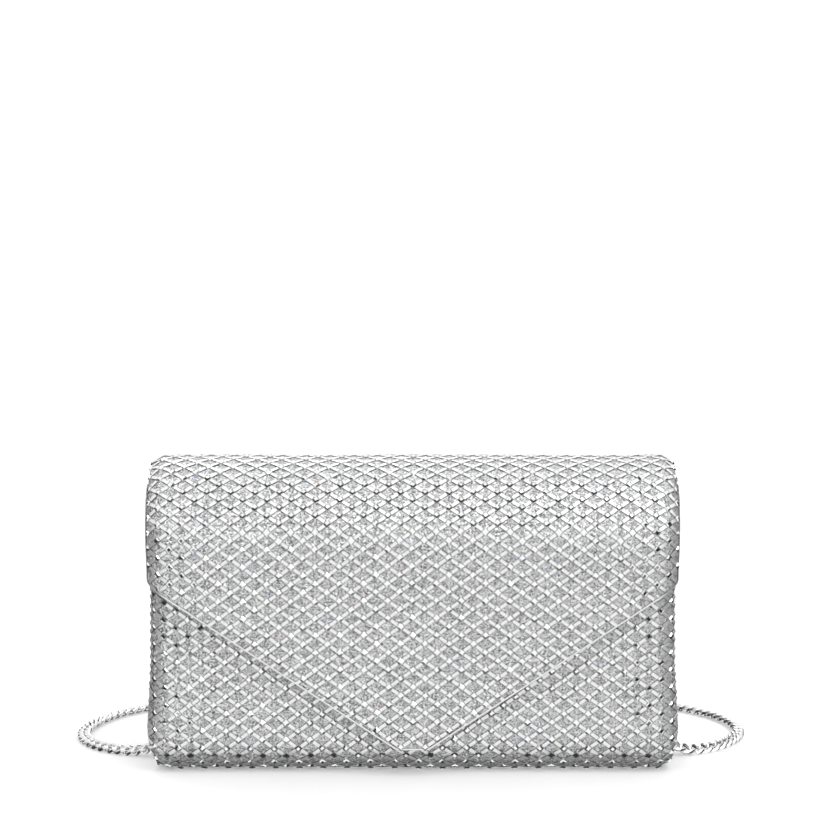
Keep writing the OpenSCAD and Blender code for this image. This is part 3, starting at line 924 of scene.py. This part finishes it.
def make_ring_tabs():
    """Folded leather straps that hold the D-rings, stitched to the gussets."""
    lowest, highest = low("ring_tab_right"), high("ring_tab_right")
    bar_x, bar_z = highest[0] - 2.35, lowest[2] + 2.35
    mid_y, width, t = (lowest[1] + highest[1]) / 2, highest[1] - lowest[1], 0.95
    r = 1.35 + t / 2
    top = highest[2] - 0.4
    line = [(bar_x - r, z) for z in np.linspace(top, bar_z, 8)]
    round_bar = np.radians(np.arange(195, 481, 15))
    line += [(bar_x + r * math.cos(a), bar_z + r * math.sin(a)) for a in round_bar]
    line += [(bar_x - r + t + 0.08, z) for z in np.linspace(bar_z + 2.6, top, 7)]
    line = np.array(line)
    heading = unit(np.gradient(line, axis=0))
    side_of = left_of(np.arctan2(heading[:, 1], heading[:, 0]))
    k, w = t / 2, width / 2
    section = [(-w, -k * 0.5), (-w + 0.25, -k), (w - 0.25, -k), (w, -k * 0.5)]
    section += [(across, -out) for across, out in section[::-1]]
    for name, side in SIDES:
        points = np.empty((len(line), len(section), 3))
        for j, (across, out) in enumerate(section):
            points[:, j, 0] = side * (line[:, 0] + side_of[:, 0] * out)
            points[:, j, 1] = mid_y + across
            points[:, j, 2] = line[:, 1] + side_of[:, 1] * out
        finish_piece(swept("ring_strap_" + name, points, TRIM), "bag_body", "ring_tab_" + name)
        x = side * (bar_x - r + 1.5 * t + 0.1)
        outwards = np.array([(side, 0, 0)] * 2, float)
        seams = [
            (np.array([(x, mid_y - w + 1, z), (x, mid_y + w - 1, z)]), outwards)
            for z in (bar_z + 4, top - 1.2)
        ]
        stitches("ring_strap_stitches_" + name, seams, "bag_body", pitch=1.7, length=1.4, thick=0.2)


def make_flap_stitches():
    """The seam that holds the flap's hem and lining, on its inner side."""
    margin = 4.5

    def seam(path):
        t = np.linspace(0, 1, 50)[:, None]
        u, s = np.vstack([a + (b - a) * t for a, b in zip(path[:-1], path[1:])]).T
        u = u / FLAP_HALF * flap_cloth.half_cloth(s)
        return seam_on(flap_cloth, u, s, -flap_thickness(s) - 0.08)

    front = np.roll(flap_front_corners(margin), -1, 0)
    stitches("flap_front_stitches", [seam(front)], bend_over_front)
    w = FLAP_HALF - margin
    rear = [seam(np.array([(x, 4.0), (x, SPLIT_S)])) for x in (-w, w)]
    stitches("flap_rear_stitches", rear, bend_over_back)


def dress_cad_parts():
    """The metal and board parts keep their CAD shapes and get worn, worked surfaces."""
    slot_of = {part["node"]: part["material_slot"] for part in frame["record"]["subparts"]}
    for node, part in frame["nodes"].items():
        for place in part.material_slots:
            place.material = LOOK_OF_SLOT[slot_of[node]]


# ---- Lattice of foil strips and mirror studs
PERIOD_U, PERIOD_S = 11.5, 8.2
STRIP_HALF, STRIP_TOP_HALF, STRIP_H = 1.02, 0.78, 0.36
STUD_REACH = 1.7
rng = np.random.default_rng(11)


class Lattice:
    """Diamonds of foil strips with a stud on each crossing, laid out on the cloth."""

    def __init__(self, cloth, outline, s_range, s_of_row_0, shift):
        self.cloth, self.outline = cloth, outline
        rows = np.arange(math.floor((s_range[0] - s_of_row_0) / (PERIOD_S / 2)) - 1,
                         math.ceil((s_range[1] - s_of_row_0) / (PERIOD_S / 2)) + 2)
        columns = np.arange(-24, 25)
        self.i, self.j = (a.ravel() for a in np.meshgrid(columns, rows))
        keep = (self.i + self.j) % 2 == 0
        self.i, self.j = self.i[keep], self.j[keep]
        u = self.i * PERIOD_U / 2
        s = s_of_row_0 + self.j * PERIOD_S / 2
        u = u + shift(s) + 0.3 * np.sin(s / 21 + 0.5) * np.cos(u / 34) + rng.normal(0, 0.06, len(u))
        s = s + 0.35 * np.sin(u / 27 + 1.3) * np.cos(s / 30) + rng.normal(0, 0.06, len(s))
        self.nodes = np.column_stack([u, s])
        self.index = {key: k for k, key in enumerate(zip(self.i.tolist(), self.j.tolist()))}
        self.s_range = s_range

    def depth(self, points):
        """How far inside the cloth's edges and the panel's own stretch points lie."""
        w = points[:, 0] * FLAP_HALF / self.cloth.half_cloth(points[:, 1])
        inside = self.outline.depth(np.column_stack([w, points[:, 1]]), cut_too=False)
        return inside, np.minimum(points[:, 1] - self.s_range[0], self.s_range[1] - points[:, 1])

    def strips(self, name):
        a, b = [], []
        for (i, j), k in self.index.items():
            for on in ((i + 1, j + 1), (i - 1, j + 1)):
                if on in self.index:
                    a.append(k)
                    b.append(self.index[on])
        a, b = self.nodes[a], self.nodes[b]
        length = np.linalg.norm(b - a, axis=1)
        along = (b - a) / length[:, None]
        gaps = rng.uniform(1.35, 1.65, (2, len(a)))
        a, b = a + along * gaps[0][:, None], b - along * gaps[1][:, None]
        t = np.linspace(0, 1, 21)
        dense = a[:, None] + (b - a)[:, None] * t[:, None]
        edge, stretch = (d.reshape(len(a), -1) for d in self.depth(dense.reshape(-1, 2)))
        inside = (edge > 0.5) & (stretch.mean(1)[:, None] > 0)
        keep = inside.sum(1) > 4
        first = t[inside.argmax(1)]
        last = t[20 - inside[:, ::-1].argmax(1)]
        start, end = a + (b - a) * first[:, None], a + (b - a) * last[:, None]
        a, b, along = start[keep], end[keep], along[keep]
        stations = np.array([0, 0.05, 0.35, 0.65, 0.95, 1])
        rise = np.array([0.3, 1, 1, 1, 1, 0.3]) * STRIP_H
        across = turned_left(along)
        middle = a[:, None] + (b - a)[:, None] * stations[:, None]
        section = ((-STRIP_HALF, -0.05), (-STRIP_TOP_HALF, 1), (STRIP_TOP_HALF, 1), (STRIP_HALF, -0.05))
        tilt = rng.normal(0, 0.035, len(a))
        points = np.empty((len(a), 6, 4, 3))
        for k, (off, lift) in enumerate(section):
            points[:, :, k, :2] = middle + across[:, None] * off
            points[:, :, k, 2] = rise * lift + (tilt * off)[:, None] * (lift > 0)
        fabric = points.reshape(-1, 3)
        one = ring_faces(0, 4, 6) + [(0, 1, 2, 3), (20, 21, 22, 23)]
        return make_object(name, self.cloth.at(*fabric.T), repeated(one, 24, len(a)), FOIL, fabric, 30)

    def studs(self, name):
        edge, stretch = self.depth(self.nodes)
        keep = (edge > 1.0) & (stretch > 0)
        centres = self.nodes[keep]
        n = len(centres)
        turn = rng.normal(0, 0.1, n)
        lean = rng.normal(0, 0.07, (n, 2))
        lean[:, 0] -= np.sign(centres[:, 0]) * 0.28 * smoothstep(np.abs(centres[:, 0]), 88, 112)
        size = rng.uniform(0.95, 1.05, n)
        levels = ((STUD_REACH * 0.96, -0.1), (STUD_REACH, 0.5), (STUD_REACH * 0.55, 0.95))
        points = np.empty((n, 3, 4, 3))
        for k, (reach, lift) in enumerate(levels):
            for c in range(4):
                a = turn + c * math.pi / 2
                off = np.column_stack([np.cos(a), np.sin(a)]) * (reach * size)[:, None]
                points[:, k, c, :2] = centres + off
                points[:, k, c, 2] = lift + (off * lean).sum(1) * (lift > 0.5)
        fabric = points.reshape(-1, 3)
        one = ring_faces(0, 4, 3) + [(0, 1, 2, 3), (8, 9, 10, 11)]
        return make_object(name, self.cloth.at(*fabric.T), repeated(one, 12, n), STUD, fabric, 20)


def make_flap_edge():
    """The thin bright line of foil that runs along the flap's edge."""
    first_s = SPLIT_S + 4
    ring = FLAP_FRONT.points(0.5)
    line = ring[int(np.argmax(ring[:, 1] > first_s)):]
    line = line[line[:, 1] > first_s]
    line[:, 0] = line[:, 0] / FLAP_HALF * flap_cloth.half_cloth(line[:, 1])
    line = line[np.concatenate([[True], np.linalg.norm(np.diff(line, axis=0), axis=1) > 0.05])]
    across = turned_left(unit(np.gradient(line, axis=0)))
    section = ((-0.55, -0.05), (-0.4, 0.3), (0.4, 0.3), (0.55, -0.05))
    fabric = np.stack(
        [np.column_stack([line + across * off, np.full(len(line), lift)]) for off, lift in section], 1
    ).reshape(-1, 3)
    faces = ring_faces(0, 4, len(line)) + [(0, 1, 2, 3), tuple(range(4 * len(line) - 4, 4 * len(line)))]
    edge = make_object("flap_edge_foil", flap_cloth.at(*fabric.T), faces, FOIL, fabric, 30)
    finish_piece(edge, bend_over_front)


def make_lattice():
    def straight(s):
        return np.zeros(np.shape(s))

    def drifting(s):
        return 3 * (1 - smoothstep(s, BACK_S, BODY_END_S))

    stud_above_tip = 5.7
    row_0 = TIP_S - stud_above_tip
    on_flap, on_body = (row_0, straight), (row_0 + BODY_END_S, drifting)
    base_start_s = front_len + 13
    for name, cloth, outline, s_range, layout, holder in (
        ("flap_rear", flap_cloth, FLAP_REAR, (0, SPLIT_S), on_flap, bend_over_back),
        ("flap_front", flap_cloth, FLAP_FRONT, (SPLIT_S, TIP_S), on_flap, bend_over_front),
        ("front_panel", body_cloth, BODY, (3, base_start_s), on_body, "bag_body"),
        ("base_panel", body_cloth, BODY, (base_start_s, BACK_S), on_body, "bag_body"),
        ("back_panel", body_cloth, BODY, (BACK_S, BODY_END_S), on_body, "bag_body"),
    ):
        lattice = Lattice(cloth, outline, s_range, *layout)
        finish_piece(lattice.strips(name + "_foil_strips"), holder)
        finish_piece(lattice.studs(name + "_studs"), holder)


# ---- Strap chain

def smooth_curve(points, per_span):
    """Points along the smooth curve through points."""
    p = np.vstack([2 * points[0] - points[1], points, 2 * points[-1] - points[-2]])
    a, b, c, d = p[:-3], p[1:-2], p[2:-1], p[3:]
    t = np.linspace(0, 1, per_span, endpoint=False)[None, :, None]
    a, b, c, d = (v[:, None] for v in (a, b, c, d))
    curve = 0.5 * (
        2 * b + (c - a) * t + (2 * a - 5 * b + 4 * c - d) * t ** 2 + (3 * b - a - 3 * c + d) * t ** 3
    )
    return np.vstack([curve.reshape(-1, 3), points[-1]])


def coil_points():
    """The coil's turns, wound inwards on the floor; its last stretch rises over the turns."""
    turns = np.linspace(0, COIL_TURNS, 100)
    angle = np.radians(COIL_START_DEG - 360 * turns)
    r = COIL_START_R - COIL_PITCH * turns
    rise = smoothstep(turns, COIL_TURNS - 0.2, COIL_TURNS)
    z = CHAIN_D / 2 + (COIL_TOP - CHAIN_D / 2) * rise
    return np.column_stack([COIL_CENTRE[0] + r * np.cos(angle), COIL_CENTRE[1] + r * np.sin(angle), z])


def chain_path():
    """From the right clasp's eye to the left one's, in metres."""
    ends = {}
    for side, route in (("right", RIGHT_ROUTE), ("left", LEFT_ROUTE)):
        lowest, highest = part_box("swivel_eye_" + side)
        eye = ((lowest.x + highest.x) / 2, (lowest.y + highest.y) / 2, lowest.z)
        ends[side] = [eye] + (np.array(route) / 1000).tolist()
    points = ends["right"] + coil_points().tolist() + ends["left"][::-1]
    curve = smooth_curve(np.array(points), 12)
    curve[:, 2] -= LIES_LOWER * (1 - smoothstep(curve[:, 2], 0.02, 0.04))
    return curve, gone_along(curve)


def carried_frames(points, first_normal):
    """A normal at each point, carried along the line without twisting."""
    tangents = unit(np.gradient(points, axis=0))
    normal = np.array(first_normal, float)
    normals = []
    for t in tangents:
        normal = normal - t * (normal @ t)
        normal /= np.linalg.norm(normal)
        normals.append(normal)
    return tangents, np.array(normals)


def make_chain():
    pitch, wire, half_long, half_wide, twist = 0.0052, 0.0009, 0.0037, 0.00255, math.radians(45)
    curve, gone = chain_path()
    count = round(gone[-1] / pitch)
    centres = along_path(curve, gone, (np.arange(count) + 0.5) * gone[-1] / count)
    tangents, normals = carried_frames(centres, (1, 0, 0))
    sides = np.cross(tangents, normals)
    wobble = rng.normal(0, 0.06, count)
    steps, rim = 20, 8
    t = np.linspace(0, 2 * math.pi, steps, endpoint=False)
    turn = twist * np.cos(t)[None] + wobble[:, None]
    wide = half_wide * np.sin(t)[None, :, None]
    loop = (
        centres[:, None] + tangents[:, None] * (half_long * np.cos(t))[None, :, None]
        + (sides[:, None] * np.cos(turn)[..., None] + normals[:, None] * np.sin(turn)[..., None]) * wide
    )
    heading = unit(np.roll(loop, -1, 1) - np.roll(loop, 1, 1))
    outwards = loop - centres[:, None]
    outwards = unit(outwards - heading * (outwards * heading).sum(2)[..., None])
    third = np.cross(heading, outwards)
    a = np.linspace(0, 2 * math.pi, rim, endpoint=False)
    points = (
        loop[:, :, None]
        + wire * (outwards[:, :, None] * np.cos(a)[:, None] + third[:, :, None] * np.sin(a)[:, None])
    )
    last = rim * (steps - 1)
    one = ring_faces(0, rim, steps)
    one += [(last + i, last + (i + 1) % rim, (i + 1) % rim, i) for i in range(rim)]
    faces = repeated(one, steps * rim, count)
    chain = make_object("strap_chain", points.reshape(-1, 3) / MM, faces, CHAIN_METAL)
    finish_piece(chain, "bag_body", "chain_left", "chain_right", "chain_coil")


# ---- Studio

def make_floor():
    """A plain pale floor. Polished metal and the bag's underside don't mirror it."""
    mesh = bpy.data.meshes.new("floor")
    far = 30
    mesh.from_pydata([(-far, -far, 0), (far, -far, 0), (far, far, 0), (-far, far, 0)], [], [(0, 1, 2, 3)])
    m = Material("pale_floor", Roughness=0.7, Emission_Color=(1, 1, 1, 1), Emission_Strength=0.16)
    m.set(Base_Color=m.ramp(m.noise(m.place(0.02), 1.0, 2), (0.3, 0.9), (0.7, 0.93)))
    mesh.materials.append(m.data)
    floor = bpy.data.objects.new("floor", mesh)
    floor.visible_glossy = floor.visible_diffuse = floor.visible_shadow = False
    bpy.context.scene.collection.objects.link(floor)


def make_world():
    """Soft light from the front, the back and above, with dark beside and below the bag, and more
    light where the camera sees the backdrop itself."""
    world = bpy.data.worlds.new("studio")
    bpy.context.scene.world = world
    world.use_nodes = True
    world.node_tree.nodes.clear()
    w = Nodes(world.node_tree)

    def ramp(value, lowest, highest):
        made = w.node("MapRange", value, lowest, highest, 0.0, 1.0, interpolation_type="SMOOTHSTEP")
        return made.outputs["Result"]

    def times(a, b):
        return w.math("MULTIPLY", a, b)

    def inverse(a):
        return w.math("SUBTRACT", 1.0, a)

    way = w.node("SeparateXYZ", w.node("TexCoord").outputs["Generated"]).outputs
    across, level_off = w.math("ABSOLUTE", way["X"]), w.math("ABSOLUTE", way["Z"])
    down, forward = times(way["Z"], -1.0), times(way["Y"], -1.0)
    not_in_front = ramp(way["Y"], -0.9, -0.78)
    beside = times(ramp(across, 0.4, 0.55), times(inverse(ramp(level_off, 0.25, 0.45)), not_in_front))
    narrow, near_below = inverse(ramp(across, 0.6, 0.68)), inverse(ramp(forward, 0.35, 0.6))
    underneath = times(ramp(down, 0.5, 0.6), times(narrow, near_below))
    strength = w.math("MULTIPLY_ADD", inverse(w.math("MAXIMUM", beside, underneath)), 1.0, 0.04)
    seen = w.node("LightPath").outputs["Is Camera Ray"]
    shade = w.node("Background", (1, 1, 1, 1), w.math("MULTIPLY_ADD", seen, 1.5, strength))
    w.put(w.node("OutputWorld").inputs["Surface"], shade.outputs["Background"])


def make_light(name, place, aim, size, power):
    data = bpy.data.lights.new(name, "AREA")
    data.shape = "RECTANGLE"
    data.size, data.size_y = size
    data.energy = power
    lamp = bpy.data.objects.new(name, data)
    lamp.location = place
    lamp.rotation_euler = (Vector(aim) - Vector(place)).to_track_quat("-Z", "Y").to_euler()
    bpy.context.scene.collection.objects.link(lamp)


def make_studio():
    make_floor()
    make_world()
    make_light("key_softbox", (0.7, -0.7, 1.5), (0, 0, 0.07), (1.0, 1.0), 7)
    make_light("back_softbox", (-0.4, 1.0, 1.4), (0, 0, 0.07), (1.2, 0.8), 3)
    bpy.context.scene.view_settings.view_transform = "Standard"


make_chain()
make_skins()
make_linings()
make_padding()
make_gussets()
make_binding()
make_pocket()
make_ring_tabs()
make_flap_stitches()
dress_cad_parts()
make_flap_edge()
make_lattice()
make_studio()
